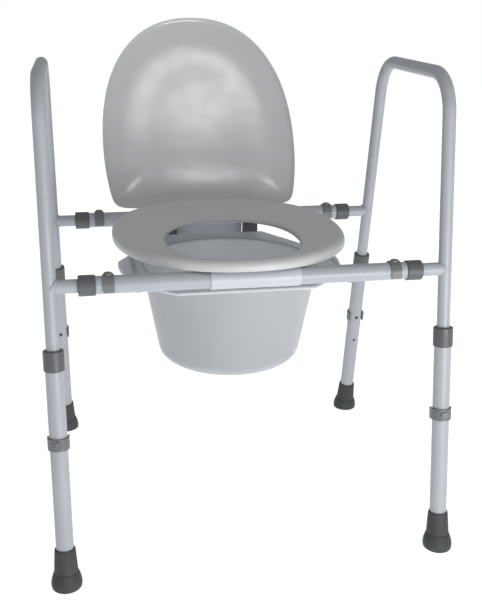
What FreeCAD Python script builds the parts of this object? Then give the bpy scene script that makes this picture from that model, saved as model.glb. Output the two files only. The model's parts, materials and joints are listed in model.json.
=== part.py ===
"""Commode chair: two side hoops joined by telescopic cross tubes, four height-adjustable legs,
a lift-up seat and lid on a rear hinge, and a lift-out bucket.

Millimetres. +X is the sitter's left-to-right as seen from the front, +Y points to the back, +Z is up.
The origin is on the floor, in the middle of the whole object's outline with the lid open.
"""
import FreeCAD, Part
import math
import os
import Sketcher

Vector = FreeCAD.Vector
Rotation = FreeCAD.Rotation
Placement = FreeCAD.Placement

AXIS_X = Vector(1, 0, 0)
AXIS_Y = Vector(0, 1, 0)
AXIS_Z = Vector(0, 0, 1)

# Driving dimensions: alias, value, what it is.
DIMENSIONS = [
    ("frame_middle_y", -76.4, "Y of the middle plane between the front and rear cross tubes"),
    ("hoop_half_width", 280, "X of each hoop's centre plane"),
    ("hoop_height", 694, "height of the armrest's centre line"),
    ("hoop_bend_radius", 61, "centre-line radius of the two bends of a hoop"),
    ("hoop_inner_end", 105, "height of the lower ends of a hoop, inside the legs"),
    ("leg_splay", 8.8, "angle in degrees by which each leg leans out to the front or rear"),
    ("cross_height", 426, "height of the cross tubes' centre lines"),
    ("cross_half_depth", 177, "half the distance between the cross tubes' centre lines"),
    ("inner_tube_diameter", 19, "outer diameter of hoops and stubs"),
    ("inner_tube_wall", 1.5, "wall of hoops and stubs"),
    ("outer_tube_diameter", 25, "outer diameter of cross tubes and legs"),
    ("outer_tube_wall", 2, "wall of cross tubes and legs"),
    ("slide_clearance", 0.3, "gap between pieces that slide on one another"),
    ("cross_half_length", 236, "half the length of a cross tube"),
    ("stub_reach", 160, "how far a stub's inner end lies from the hoop's centre plane"),
    ("stub_weld_gap", 0.15, "weld gap between a stub and its hoop"),
    ("bush_wall", 1.9, "wall of a mouth bush around the outer tube"),
    ("bush_chamfer", 1.2, "chamfer of a mouth bush's two outer edges"),
    ("cross_bush_length", 23.5, "length of a cross tube's mouth bush"),
    ("cross_bush_end", 242.5, "X of the outer face of a cross tube's mouth bush"),
    ("leg_bush_length", 29, "length of a leg's mouth bush"),
    ("leg_bush_top", 345, "distance along the leg from the floor to the top of its mouth bush"),
    ("bush_lip", 6.5, "length of the bush beyond the outer tube's mouth"),
    ("leg_tube_start", 13, "distance along the leg from the floor to the lower end of its tube"),
    ("glide_head", 5, "length of the head of a plastic glide"),
    ("glide_length", 22, "whole length of a plastic glide"),
    ("glide_bore", 3, "radius of the hole through a glide"),
    ("glide_clearance", 0.1, "gap between a glide's head and the outer tube"),
    ("clip_wall", 2.4, "thickness of a snap clip"),
    ("cross_clip_width", 15, "width of the clips on the cross tubes"),
    ("leg_clip_width", 17, "width of the clips on the legs"),
    ("clip_arm", 7, "how far a clip's arms reach past the tube's centre"),
    ("clip_bump_radius", 5.5, "radius of the raised thumb bump on a clip"),
    ("clip_bump_height", 1.6, "height of the raised thumb bump on a clip"),
    ("pin_radius", 2.9, "radius of a clip's locking pin"),
    ("cross_clip_x", 202, "X of the cross tube clips"),
    ("leg_clip_distance", 213.5, "distance along the leg from the floor to its clip"),
    ("adjustment_hole_radius", 3.3, "radius of the adjustment holes"),
    ("adjustment_pitch", 25, "distance between adjustment holes"),
    ("spare_hole_radius", 2.6, "radius of a leg's spare hole"),
    ("foot_height", 57, "distance along the leg from the floor to the top of the rubber foot"),
    ("foot_top_radius", 15, "radius of the rubber foot's collar"),
    ("foot_waist_radius", 18.4, "radius of the rubber foot where its skirt meets the tread"),
    ("foot_waist_height", 20, "distance along the leg from the floor to that place"),
    ("foot_step", 1.3, "width of the step above it"),
    ("foot_base_radius", 22, "radius of the rubber foot's tread"),
    ("foot_tread_height", 12, "distance along the leg from the floor to the top of the tread"),
    ("foot_overcut", 6, "how far the foot is drawn below the floor before it is trimmed"),
    ("washer_radius", 11.5, "radius of the steel washer in the foot"),
    ("washer_thickness", 2, "thickness of the steel washer in the foot"),
    ("saddle_wall", 1.5, "thickness of the seat saddles"),
    ("front_saddle_length", 127, "length of the front seat saddle"),
    ("rear_saddle_length", 118, "length of the rear seat saddle"),
    ("saddle_slot", 9, "width of the slot along the bottom of a saddle"),
    ("saddle_apron", 46, "depth of the rear saddle's apron below the tube's centre"),
    ("hinge_y", 204, "hinge axis behind the middle plane"),
    ("hinge_z", 429, "height of the hinge axis"),
    ("hinge_pin_radius", 4, "radius of the hinge pins"),
    ("hinge_pin_clearance", 0.08, "radial clearance of the lugs on the hinge pins"),
    ("hinge_eye_radius", 8, "radius of the lugs around the hinge pins"),
    ("hinge_pin_head_radius", 6, "radius of a hinge pin's head"),
    ("hinge_pin_head_length", 2, "thickness of a hinge pin's head and of its spread tip"),
    ("bracket_inner_x", 60, "from the middle of the seat to the inner face of a hinge bracket"),
    ("bracket_width", 24, "width of a hinge bracket"),
    ("bracket_wall", 3.2, "wall of a hinge bracket around the rear tube"),
    ("bracket_boss_drop", 42, "depth of a bracket's screw boss below the rear tube's centre"),
    ("bracket_boss_front", 8, "reach of the screw boss in front of the rear tube's centre"),
    ("bracket_boss_rear", 12, "reach of the screw boss behind the rear tube's centre"),
    ("screw_radius", 2, "radius of a bracket screw's shank"),
    ("screw_head_radius", 3.8, "radius of a bracket screw's head"),
    ("screw_head_height", 2.4, "height of a bracket screw's head"),
    ("screw_slot_reach", 2.6, "half the length of the cross slots in a screw's head"),
    ("screw_slot_half_width", 0.5, "half the width of the cross slots"),
    ("screw_slot_depth", 1.2, "depth of the cross slots"),
    ("lug_width", 12, "width of the seat's and the lid's hinge lugs"),
    ("lug_gap", 1, "gap between a lug and its bracket"),
    ("rail_x", 158, "X of the bucket rails"),
    ("rail_diameter", 7, "diameter of the bucket rails"),
    ("rail_angle", 28.5, "angle in degrees at which a rail rises to the cross tubes"),
    ("rail_bend_radius", 20, "bend radius of the bucket rails"),
    ("bucket_rim_height", 400, "height of the bucket's rim"),
    ("bucket_offset_x", -7, "X of the bucket's axis"),
    ("bucket_offset_y", -9, "Y of the bucket's axis from the middle plane"),
    ("bucket_mouth_radius", 138.7, "outer radius of the bucket just below its rim"),
    ("bucket_base_radius", 110, "outer radius of the bucket at its base, before rounding"),
    ("bucket_depth", 154, "outer depth of the bucket"),
    ("bucket_base_rounding", 22, "rounding of the bucket's lower edge"),
    ("bucket_wall", 2.8, "wall of the bucket"),
    ("bucket_ear_radius", 174, "radius of the two ears that rest on the rails"),
    ("bucket_lip", 5, "width of the rim at the front"),
    ("bucket_flank_reach", 160, "from the bucket's axis to the rim's two slanting rear sides"),
    ("bucket_flank_angle", 30, "angle in degrees of those sides"),
    ("bucket_tail_reach", 168, "from the bucket's axis to the rear edge of its rim"),
    ("bucket_turned_radius", 192, "radius of the rim before it is cut to its outline"),
    ("trim_margin", 10, "how far a cutting block reaches past what it trims"),
    ("bucket_rim_thickness", 3.7, "thickness of the bucket's rim"),
    ("seat_top", 456, "height of the seat's top surface"),
    ("seat_thickness", 15.5, "thickness of the seat at its skirt"),
    ("seat_wall", 3.5, "wall of the seat moulding"),
    ("seat_offset_x", -9, "X of the middle of the seat, the lid and their hinge"),
    ("seat_half_width", 179, "half the seat's width"),
    ("seat_front_reach", 197, "from the seat's widest place, over the middle plane, to its front"),
    ("seat_rear_reach", 188, "from the seat's widest place to its rear"),
    ("seat_dish", 7.5, "how far the seat's top slopes down to the edge of its hole"),
    ("seat_crest_inset", 13, "from the seat's outer edge to where its top begins to slope"),
    ("seat_hole_half_width", 102, "half the width of the seat's hole"),
    ("seat_hole_half_length", 121, "half the length of the seat's hole"),
    ("seat_hole_y", -46, "Y of the middle of the seat's hole from the middle plane"),
    ("buffer_radius", 6.5, "radius of the seat's rubber buffers"),
    ("front_buffer_x", 52, "from the middle of the seat to a front buffer"),
    ("rear_buffer_x", 25, "from the middle of the seat to a rear buffer"),
    ("lid_gap", 0.8, "gap between the closed lid and the seat"),
    ("lid_half_width", 178, "half the lid's width"),
    ("lid_widest_y", 69, "Y of the lid's widest place from the middle plane, when it is closed"),
    ("lid_front_reach", 249, "from the lid's widest place to its front"),
    ("lid_rear_reach", 119, "from the lid's widest place to its straight rear edge"),
    ("lid_rear_taper", 290, "reach at which the flanks would meet if the rear edge didn't cut them"),
    ("lid_crown", 17, "height of the lid's crown above its rim"),
    ("lid_wall", 2.8, "wall of the lid moulding"),
    ("lid_dome_reach", 100, "how far in from the rim the lid's dome becomes flat"),
    ("lid_open_angle", 119, "angle in degrees between the closed lid and the open lid"),
]

# Powers of the superellipses: 2 is a plain ellipse, and more is squarer.
SEAT_FRONT_POWER = 2.2
SEAT_REAR_POWER = 2.3
HOLE_POWER = 2.2
LID_FRONT_POWER = 2.27
LID_FLANK_POWER = 2
# How sharply the lid's flanks meet its straight rear edge.
LID_CORNER_POWER = 20
# Points on the outlines of the seat, the lid and the hole.
OUTLINE_STEPS = 80
HOLE_STEPS = 40
# Shares of the way in from the lid's rim at which its dome is measured.
DOME_SHARES = (0, 0.02, 0.08, 0.2, 0.4, 0.65, 1)

os.makedirs("parts", exist_ok=True)
doc = FreeCAD.newDocument("CommodeChair")
sheet = doc.addObject("Spreadsheet::Sheet", "Sizes")
for row, (alias, number, meaning) in enumerate(DIMENSIONS, start=1):
    sheet.set(f"A{row}", alias)
    sheet.set(f"B{row}", str(number))
    sheet.set(f"C{row}", meaning)
    sheet.setAlias(f"B{row}", alias)
doc.recompute()

sub_parts = []


def size(alias):
    """A driving dimension, read from the sheet."""
    return float(sheet.get(alias))


def value(expression):
    """The number that an expression on the sheet gives."""
    return float(sheet.evalExpression(expression))


def bind(obj, quantity, expression):
    """Set a size now and keep it bound to the sheet."""
    setattr(obj, quantity, value(expression))
    obj.setExpression(quantity, expression)


def named(obj, label, placement=None):
    """Keep an object as the sub-part called label."""
    obj.Label = label
    if placement is not None:
        obj.Placement = placement
    sub_parts.append(obj)
    return obj


# ---------------------------------------------------------------- sketches and features

def new_body(name):
    return doc.addObject("PartDesign::Body", name + "_body")


def add_sketch(body, name, role):
    """A sketch on one of the body's own origin planes."""
    sketch = body.newObject("Sketcher::SketchObject", name)
    plane = next(feature for feature in body.Origin.OriginFeatures if feature.Role == role)
    sketch.AttachmentSupport = (plane, [""])
    sketch.MapMode = "FlatFace"
    return sketch


def fix_point(sketch, geometry, corner, across, up):
    """Place one end of a piece of geometry by two expressions."""
    for kind, expression in (("DistanceX", across), ("DistanceY", up)):
        index = sketch.addConstraint(
            Sketcher.Constraint(kind, -1, 1, geometry, corner, value(expression)))
        sketch.setExpression(f"Constraints[{index}]", expression)


def add_circle(sketch, radius, across="0", up="0"):
    """A circle whose radius and centre follow expressions."""
    centre = Vector(value(across), value(up), 0)
    circle = sketch.addGeometry(Part.Circle(centre, AXIS_Z, value(radius)))
    fix_point(sketch, circle, 3, across, up)
    index = sketch.addConstraint(Sketcher.Constraint("Radius", circle, value(radius)))
    sketch.setExpression(f"Constraints[{index}]", radius)


def add_polygon(sketch, corners):
    """A closed outline whose corners follow pairs of expressions."""
    points = [Vector(value(across), value(up), 0) for across, up in corners]
    lines = [
        sketch.addGeometry(Part.LineSegment(point, points[(number + 1) % len(points)]))
        for number, point in enumerate(points)
    ]
    for number, line in enumerate(lines):
        following = lines[(number + 1) % len(lines)]
        sketch.addConstraint(Sketcher.Constraint("Coincident", line, 2, following, 1))
    for line, (across, up) in zip(lines, corners):
        fix_point(sketch, line, 1, across, up)


def add_pad(body, name, sketch, length, midplane=False, backwards=False):
    pad = body.newObject("PartDesign::Pad", name)
    pad.Profile = sketch
    pad.Midplane = midplane
    pad.Reversed = backwards
    bind(pad, "Length", length)
    body.Tip = pad
    return pad


def add_through_pocket(body, name, sketch):
    """Cut a sketch through the whole body, to both sides of its plane."""
    doc.recompute()
    before = body.Shape.Volume
    pocket = body.newObject("PartDesign::Pocket", name)
    pocket.Profile = sketch
    pocket.Type = "ThroughAll"
    pocket.Midplane = True
    body.Tip = pocket
    doc.recompute()
    if body.Shape.Volume > before - 1:
        raise RuntimeError(name + " cuts nothing")
    return pocket


def add_revolution(body, name, sketch):
    """Turn a profile in the XZ plane once around the body's Z axis."""
    turned = body.newObject("PartDesign::Revolution", name)
    turned.Profile = sketch
    turned.ReferenceAxis = (sketch, ["V_Axis"])
    turned.Angle = 360
    body.Tip = turned
    return turned


def add_cut(name, base, tool):
    cut = doc.addObject("Part::Cut", name)
    cut.Base = base
    cut.Tool = tool
    return cut


def tube_body(name, outer, wall, length):
    """A straight tube from the origin along Z."""
    body = new_body(name)
    ring = add_sketch(body, name + "_ring", "XY_Plane")
    add_circle(ring, f"{outer}/2")
    add_circle(ring, f"{outer}/2-{wall}")
    add_pad(body, name + "_pad", ring, length)
    return body


def bent_half_path(sketch, height, radius, angle, end_across, end_up):
    """A level line from the Z axis, one bend, and a straight line to the end point.

    The angle is in degrees from level, positive when the line turns up.
    """
    turn = math.radians(value(angle))
    side = math.copysign(1, turn)
    level = value(height)
    bend = value(radius)
    end = Vector(value(end_across), value(end_up), 0)
    corner = end.x - (end.y - level) / math.tan(turn)
    setback = bend * math.tan(abs(turn) / 2)
    first = Vector(corner - setback, level, 0)
    last = Vector(corner + setback * math.cos(turn), level + setback * math.sin(turn), 0)
    centre = Vector(first.x, level + side * bend, 0)
    circle = Part.Circle(centre, AXIS_Z, bend)
    begin = -math.pi / 2 if side > 0 else math.pi / 2 + turn
    line = sketch.addGeometry(Part.LineSegment(Vector(0, level, 0), first))
    arc = sketch.addGeometry(Part.ArcOfCircle(circle, begin, begin + abs(turn)))
    leg = sketch.addGeometry(Part.LineSegment(last, end))
    near, far = (1, 2) if side > 0 else (2, 1)
    sketch.addConstraint(Sketcher.Constraint("Horizontal", line))
    fix_point(sketch, line, 1, "0", height)
    sketch.addConstraint(Sketcher.Constraint("Tangent", line, 2, arc, near))
    sketch.addConstraint(Sketcher.Constraint("Tangent", arc, far, leg, 1))
    index = sketch.addConstraint(Sketcher.Constraint("Radius", arc, bend))
    sketch.setExpression(f"Constraints[{index}]", radius)
    fix_point(sketch, leg, 2, end_across, end_up)
    index = sketch.addConstraint(Sketcher.Constraint("Angle", leg, turn))
    sketch.setExpression(f"Constraints[{index}]", angle)


def bent_bar_body(name, radii, height, radius, angle, end_across, end_up):
    """A bar or tube that follows a bent half path and its mirror image, in the YZ plane."""
    body = new_body(name)
    path = add_sketch(body, name + "_path", "YZ_Plane")
    bent_half_path(path, height, radius, angle, end_across, end_up)
    section = add_sketch(body, name + "_section", "XZ_Plane")
    for section_radius in radii:
        add_circle(section, section_radius, "0", height)
    half = body.newObject("PartDesign::AdditivePipe", name + "_half")
    half.Profile = section
    half.Spine = (path, ["Edge1", "Edge2", "Edge3"])
    body.Tip = half
    doc.recompute()
    mirrored = body.newObject("PartDesign::Mirrored", name + "_mirrored")
    mirrored.Originals = [half]
    plane = next(feature for feature in body.Origin.OriginFeatures if feature.Role == "XZ_Plane")
    mirrored.MirrorPlane = (plane, [""])
    body.Tip = mirrored
    return body


# ---------------------------------------------------------------- places

SIDES = {"left": -1, "right": 1}
ENDS = {"front": -1, "rear": 1}


def at_frame(across, depth, height):
    """A point given from the middle plane of the frame."""
    return Vector(across, size("frame_middle_y") + depth, height)


def leg_place(side, end):
    """The leg's own frame: origin where its axis meets the floor, Z up the leg, -Y outwards."""
    splay = size("leg_splay")
    spread = size("cross_half_depth") + size("cross_height") * math.tan(math.radians(splay))
    foot = at_frame(SIDES[side] * size("hoop_half_width"), ENDS[end] * spread, 0)
    lean = Rotation(AXIS_X, ENDS[end] * splay)
    turn = Rotation(AXIS_Z, 0 if end == "front" else 180)
    return Placement(foot, lean * turn)


def cross_place(side, end, across):
    """A place on a cross tube: Z along the tube towards the side, X down."""
    point = at_frame(SIDES[side] * across, ENDS[end] * size("cross_half_depth"), size("cross_height"))
    outwards = Rotation(AXIS_Y, 90)
    if side == "left":
        outwards = Rotation(AXIS_Z, 180) * outwards
    return Placement(point, outwards)


def hinge_place():
    """The middle of the hinge axis."""
    return Placement(at_frame(size("seat_offset_x"), size("hinge_y"), size("hinge_z")), Rotation())


# ---------------------------------------------------------------- tubes of the frame

def make_cross_tube(end):
    """A cross tube with a vertical pin hole under each of its clips."""
    name = end + "_cross_tube"
    body = tube_body(name, "Sizes.outer_tube_diameter", "Sizes.outer_tube_wall",
                     "Sizes.cross_half_length*2")
    holes = add_sketch(body, name + "_holes", "YZ_Plane")
    for sign in ("-", "+"):
        add_circle(holes, "Sizes.adjustment_hole_radius", "0",
                   f"Sizes.cross_half_length{sign}Sizes.cross_clip_x")
    add_through_pocket(body, name + "_pocket", holes)
    named(body, name, cross_place("right", end, -size("cross_half_length")))


def make_hoop(side):
    """One side hoop: armrest and both upper legs in one bent tube, with adjustment holes."""
    name = side + "_hoop_tube"
    rise = "(Sizes.cross_height-Sizes.hoop_inner_end)"
    body = bent_bar_body(
        name,
        ("Sizes.inner_tube_diameter/2", "Sizes.inner_tube_diameter/2-Sizes.inner_tube_wall"),
        "Sizes.hoop_height", "Sizes.hoop_bend_radius", "Sizes.leg_splay-90",
        f"Sizes.cross_half_depth+{rise}*tan(Sizes.leg_splay*1deg)", "Sizes.hoop_inner_end")
    doc.recompute()
    holes = add_sketch(body, name + "_holes", "XZ_Plane")
    for number in range(-2, 4):
        add_circle(holes, "Sizes.adjustment_hole_radius", "0",
                   f"(Sizes.leg_clip_distance+{number}*Sizes.adjustment_pitch)"
                   "*cos(Sizes.leg_splay*1deg)")
    add_through_pocket(body, name + "_pocket", holes)
    place = Placement(at_frame(SIDES[side] * size("hoop_half_width"), 0, 0), Rotation())
    named(body, name, place)


def make_stub(side, end):
    """A stub that slides in a cross tube, coped and welded to the hoop's leg."""
    name = f"{end}_{side}_stub"
    body = tube_body(name, "Sizes.inner_tube_diameter", "Sizes.inner_tube_wall", "Sizes.stub_reach")
    holes = add_sketch(body, name + "_holes", "YZ_Plane")
    for number in range(-1, 3):
        add_circle(holes, "Sizes.adjustment_hole_radius", "0",
                   f"Sizes.hoop_half_width-Sizes.cross_clip_x+{number}*Sizes.adjustment_pitch")
    add_through_pocket(body, name + "_pocket", holes)
    leg = doc.addObject("Part::Cylinder", name + "_cope")
    bind(leg, "Radius", "Sizes.inner_tube_diameter/2+Sizes.stub_weld_gap")
    bind(leg, "Height", "Sizes.outer_tube_diameter*4")
    inwards = "right" if side == "left" else "left"
    place = cross_place(inwards, end, -size("hoop_half_width"))
    splay = math.radians(size("leg_splay"))
    up_the_leg = Vector(0, -ENDS[end] * math.sin(splay), math.cos(splay))
    along = place.Rotation.inverted().multVec(up_the_leg)
    leg.Placement = Placement(along * (-leg.Height.Value / 2), Rotation(AXIS_Z, along))
    named(add_cut(name + "_coped", body, leg), name, place)


def glide_body(name):
    """A plastic glide: a shank inside the inner tube and a head that fits the outer tube."""
    body = new_body(name)
    profile = add_sketch(body, name + "_profile", "XZ_Plane")
    head = "Sizes.outer_tube_diameter/2-Sizes.outer_tube_wall-Sizes.glide_clearance"
    shank = "Sizes.inner_tube_diameter/2-Sizes.inner_tube_wall"
    bore = "Sizes.glide_bore"
    add_polygon(profile, [
        (bore, "0"), (head, "0"), (head, "Sizes.glide_head"), (shank, "Sizes.glide_head"),
        (shank, "Sizes.glide_length"), (bore, "Sizes.glide_length")])
    add_revolution(body, name + "_turned", profile)
    return body


def make_glide_pair(name, places):
    """Two glides that share one node."""
    body = glide_body(name)
    doc.recompute()
    group = doc.addObject("Part::Feature", name + "_pair")
    group.Shape = Part.makeCompound([moved_copy(body.Shape, place) for place in places])
    named(group, name)


def moved_copy(shape, place):
    copy = shape.copy()
    copy.Placement = place.multiply(copy.Placement)
    return copy


def make_glides(side):
    hoop_end = size("hoop_inner_end") / math.cos(math.radians(size("leg_splay")))
    lower = Placement(Vector(0, 0, hoop_end - size("glide_head")), Rotation())
    make_glide_pair(side + "_leg_glides", [leg_place(side, end).multiply(lower) for end in ENDS])
    stub_end = size("hoop_half_width") - size("stub_reach") - size("glide_head")
    make_glide_pair(side + "_stub_glides", [cross_place(side, end, stub_end) for end in ENDS])


# ---------------------------------------------------------------- bushes, clips and feet

def bush_body(name, length):
    """A mouth bush: a cap over the outer tube's mouth, bored for the inner tube. Mouth end at Z 0."""
    body = new_body(name)
    profile = add_sketch(body, name + "_profile", "XZ_Plane")
    bore = "Sizes.inner_tube_diameter/2+Sizes.slide_clearance"
    tube = "Sizes.outer_tube_diameter/2"
    skin = f"{tube}+Sizes.bush_wall"
    chamfer = "Sizes.bush_chamfer"
    step = "Sizes.bush_lip"
    add_polygon(profile, [
        (bore, "0"), (f"{skin}-{chamfer}", "0"), (skin, chamfer), (skin, f"{length}-{chamfer}"),
        (f"{skin}-{chamfer}", length), (tube, length), (tube, step), (bore, step)])
    add_revolution(body, name + "_turned", profile)
    return body


def make_cross_bush(side, end):
    name = f"{end}_{side}_cross_bush"
    inwards = "right" if side == "left" else "left"
    named(bush_body(name, "Sizes.cross_bush_length"), name,
          cross_place(inwards, end, -size("cross_bush_end")))


def make_leg_bush(side, end):
    name = f"{end}_{side}_leg_bush"
    upside_down = Placement(Vector(0, 0, size("leg_bush_top")), Rotation(AXIS_X, 180))
    named(bush_body(name, "Sizes.leg_bush_length"), name, leg_place(side, end).multiply(upside_down))


def clip_body(name, width):
    """A U-shaped snap clip around a tube along Z, open towards +Y, with its pin and thumb bump."""
    body = new_body(name)
    outline = add_sketch(body, name + "_outline", "XY_Plane")
    inner = value("Sizes.outer_tube_diameter/2+Sizes.slide_clearance")
    outer = inner + size("clip_wall")
    arm = size("clip_arm")
    circle_inner = Part.Circle(Vector(0, 0, 0), AXIS_Z, inner)
    circle_outer = Part.Circle(Vector(0, 0, 0), AXIS_Z, outer)
    arcs = [outline.addGeometry(Part.ArcOfCircle(circle, math.pi, 2 * math.pi))
            for circle in (circle_outer, circle_inner)]
    corners = [Vector(outer, 0, 0), Vector(outer, arm, 0), Vector(inner, arm, 0), Vector(inner, 0, 0)]
    for sign in (1, -1):
        points = [Vector(sign * point.x, point.y, 0) for point in corners]
        lines = [outline.addGeometry(Part.LineSegment(*pair)) for pair in zip(points, points[1:])]
        for line, following in zip(lines, lines[1:]):
            outline.addConstraint(Sketcher.Constraint("Coincident", line, 2, following, 1))
        corner = 2 if sign > 0 else 1
        outline.addConstraint(Sketcher.Constraint("Tangent", arcs[0], corner, lines[0], 1))
        outline.addConstraint(Sketcher.Constraint("Tangent", arcs[1], corner, lines[2], 2))
        outline.addConstraint(Sketcher.Constraint("Horizontal", lines[1]))
        index = outline.addConstraint(Sketcher.Constraint("DistanceY", -1, 1, lines[0], 2, arm))
        outline.setExpression(f"Constraints[{index}]", "Sizes.clip_arm")
    for arc, extra in zip(arcs, ("+Sizes.clip_wall", "")):
        radius = "Sizes.outer_tube_diameter/2+Sizes.slide_clearance" + extra
        outline.addConstraint(Sketcher.Constraint("Coincident", arc, 3, -1, 1))
        index = outline.addConstraint(Sketcher.Constraint("Radius", arc, value(radius)))
        outline.setExpression(f"Constraints[{index}]", radius)
    add_pad(body, name + "_band", outline, width, midplane=True)
    return body


def make_clip(name, width, place):
    """A snap clip with a round bump on its back and a pin that reaches through the outer tube."""
    band = clip_body(name, width)
    back = size("outer_tube_diameter") / 2 + size("slide_clearance") + size("clip_wall")
    pin_tip = size("inner_tube_diameter") / 2 + size("slide_clearance")
    inner_face = back - size("clip_wall") / 2
    bump = doc.addObject("Part::Cylinder", name + "_bump")
    bind(bump, "Radius", "Sizes.clip_bump_radius")
    bump.Height = size("clip_bump_height") + size("clip_wall") / 2
    bump.Placement = Placement(Vector(0, -inner_face, 0), Rotation(AXIS_X, 90))
    pin = doc.addObject("Part::Cylinder", name + "_pin")
    bind(pin, "Radius", "Sizes.pin_radius")
    pin.Height = inner_face - pin_tip
    pin.Placement = Placement(Vector(0, -pin_tip, 0), Rotation(AXIS_X, 90))
    whole = doc.addObject("Part::MultiFuse", name + "_whole")
    whole.Shapes = [band, bump, pin]
    named(whole, name, place)


def make_leg_clip(side, end):
    at_clip = Placement(Vector(0, 0, size("leg_clip_distance")), Rotation())
    make_clip(f"{end}_{side}_leg_clip", "Sizes.leg_clip_width", leg_place(side, end).multiply(at_clip))


def make_cross_clip(side, end):
    """The clip on a cross tube sits on top and opens downwards."""
    back_up = Placement(Vector(0, 0, 0), Rotation(AXIS_Z, -90))
    make_clip(f"{end}_{side}_cross_clip", "Sizes.cross_clip_width",
              cross_place(side, end, size("cross_clip_x")).multiply(back_up))


def make_leg_tube(side, end):
    """The outer leg tube, with its pin hole and a spare hole below on the inner face."""
    name = f"{end}_{side}_leg_tube"
    body = tube_body(name, "Sizes.outer_tube_diameter", "Sizes.outer_tube_wall",
                     "Sizes.leg_bush_top-Sizes.bush_lip-Sizes.leg_tube_start")
    holes = add_sketch(body, name + "_holes", "XZ_Plane")
    add_circle(holes, "Sizes.adjustment_hole_radius", "0",
               "Sizes.leg_clip_distance-Sizes.leg_tube_start")
    add_through_pocket(body, name + "_pocket", holes)
    drill = doc.addObject("Part::Cylinder", name + "_drill")
    bind(drill, "Radius", "Sizes.spare_hole_radius")
    bind(drill, "Height", "Sizes.outer_tube_diameter")
    height = value("Sizes.leg_clip_distance-Sizes.leg_tube_start-2*Sizes.adjustment_pitch")
    drill.Placement = Placement(Vector(0, 0, height), Rotation(AXIS_X, -90))
    start = Placement(Vector(0, 0, size("leg_tube_start")), Rotation())
    named(add_cut(name + "_drilled", body, drill), name, leg_place(side, end).multiply(start))


def make_foot(side, end):
    """A flared rubber foot, with a socket for the leg tube, trimmed flat on the floor."""
    name = f"{end}_{side}_foot"
    body = new_body(name)
    profile = add_sketch(body, name + "_profile", "XZ_Plane")
    tube = "Sizes.outer_tube_diameter/2"
    seat = "Sizes.leg_tube_start-Sizes.washer_thickness"
    below = "-Sizes.foot_overcut"
    collar = "Sizes.foot_top_radius"
    add_polygon(profile, [
        ("0", below), ("Sizes.foot_base_radius-1.5", below),
        ("Sizes.foot_base_radius", "Sizes.foot_tread_height/2-1"),
        ("Sizes.foot_base_radius-1", "Sizes.foot_tread_height"),
        ("Sizes.foot_waist_radius", "Sizes.foot_waist_height"),
        ("Sizes.foot_waist_radius-Sizes.foot_step", "Sizes.foot_waist_height+Sizes.foot_step"),
        (collar, "Sizes.foot_height-3"), (f"{collar}-1", "Sizes.foot_height"),
        (tube, "Sizes.foot_height"), (tube, seat), ("0", seat)])
    add_revolution(body, name + "_turned", profile)
    floor = doc.addObject("Part::Box", name + "_floor")
    for side_name in ("Length", "Width", "Height"):
        bind(floor, side_name, "Sizes.foot_base_radius*4")
    half = floor.Length.Value / 2
    below_floor = Placement(Vector(-half, -half, -2 * half), Rotation())
    tilt = Placement(Vector(0, 0, 0), Rotation(AXIS_X, size("leg_splay")))
    floor.Placement = tilt.multiply(below_floor)
    named(add_cut(name + "_trimmed", body, floor), name, leg_place(side, end))


def make_foot_washer(side, end):
    """The steel washer that stops the tube from cutting through the rubber."""
    name = f"{end}_{side}_foot_washer"
    disc = doc.addObject("Part::Cylinder", name + "_disc")
    bind(disc, "Radius", "Sizes.washer_radius")
    bind(disc, "Height", "Sizes.washer_thickness")
    base = Placement(Vector(0, 0, size("leg_tube_start") - size("washer_thickness")), Rotation())
    named(disc, name, leg_place(side, end).multiply(base))


# ---------------------------------------------------------------- seat supports and hinge

def saddle_body(name, length):
    """A plastic cover snapped over a cross tube, slotted along its bottom (local +X)."""
    body = new_body(name)
    ring = add_sketch(body, name + "_ring", "XY_Plane")
    add_circle(ring, "Sizes.outer_tube_diameter/2+Sizes.saddle_wall")
    add_circle(ring, "Sizes.outer_tube_diameter/2")
    add_pad(body, name + "_pad", ring, length, midplane=True)
    return body


def saddle_slot(name):
    slot = doc.addObject("Part::Box", name + "_slot")
    bind(slot, "Length", "Sizes.outer_tube_diameter")
    bind(slot, "Width", "Sizes.saddle_slot")
    bind(slot, "Height", "Sizes.front_saddle_length*2")
    slot.Placement = Placement(Vector(0, -slot.Width.Value / 2, -slot.Height.Value / 2), Rotation())
    return slot


def make_front_saddle():
    name = "front_seat_saddle"
    cover = add_cut(name + "_cover", saddle_body(name, "Sizes.front_saddle_length"), saddle_slot(name))
    named(cover, name, cross_place("right", "front", 0))


def make_rear_saddle():
    """The rear saddle also has an apron that keeps the bucket from moving back."""
    name = "rear_seat_saddle"
    cover = add_cut(name + "_cover", saddle_body(name, "Sizes.rear_saddle_length"), saddle_slot(name))
    apron = doc.addObject("Part::Box", name + "_apron")
    bind(apron, "Length", "Sizes.saddle_apron")
    bind(apron, "Width", "Sizes.saddle_wall*2")
    bind(apron, "Height", "Sizes.rear_saddle_length")
    behind = size("outer_tube_diameter") / 2 - size("saddle_wall") * 0.5
    apron.Placement = Placement(Vector(0, behind, -apron.Height.Value / 2), Rotation())
    tube = doc.addObject("Part::Cylinder", name + "_tube")
    bind(tube, "Radius", "Sizes.outer_tube_diameter/2")
    bind(tube, "Height", "Sizes.front_saddle_length*2")
    tube.Placement = Placement(Vector(0, 0, -tube.Height.Value / 2), Rotation())
    joined = doc.addObject("Part::Fuse", name + "_joined")
    joined.Base = cover
    joined.Tool = add_cut(name + "_apron_cut", apron, tube)
    named(joined, name, cross_place("right", "rear", size("seat_offset_x")))


def cylinder_along_x(radius, start, length, depth=0, height=0):
    return Part.makeCylinder(radius, length, Vector(start, depth, height), AXIS_X)


def block(low, high):
    return Part.makeBox(high[0] - low[0], high[1] - low[1], high[2] - low[2], Vector(*low))


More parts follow.
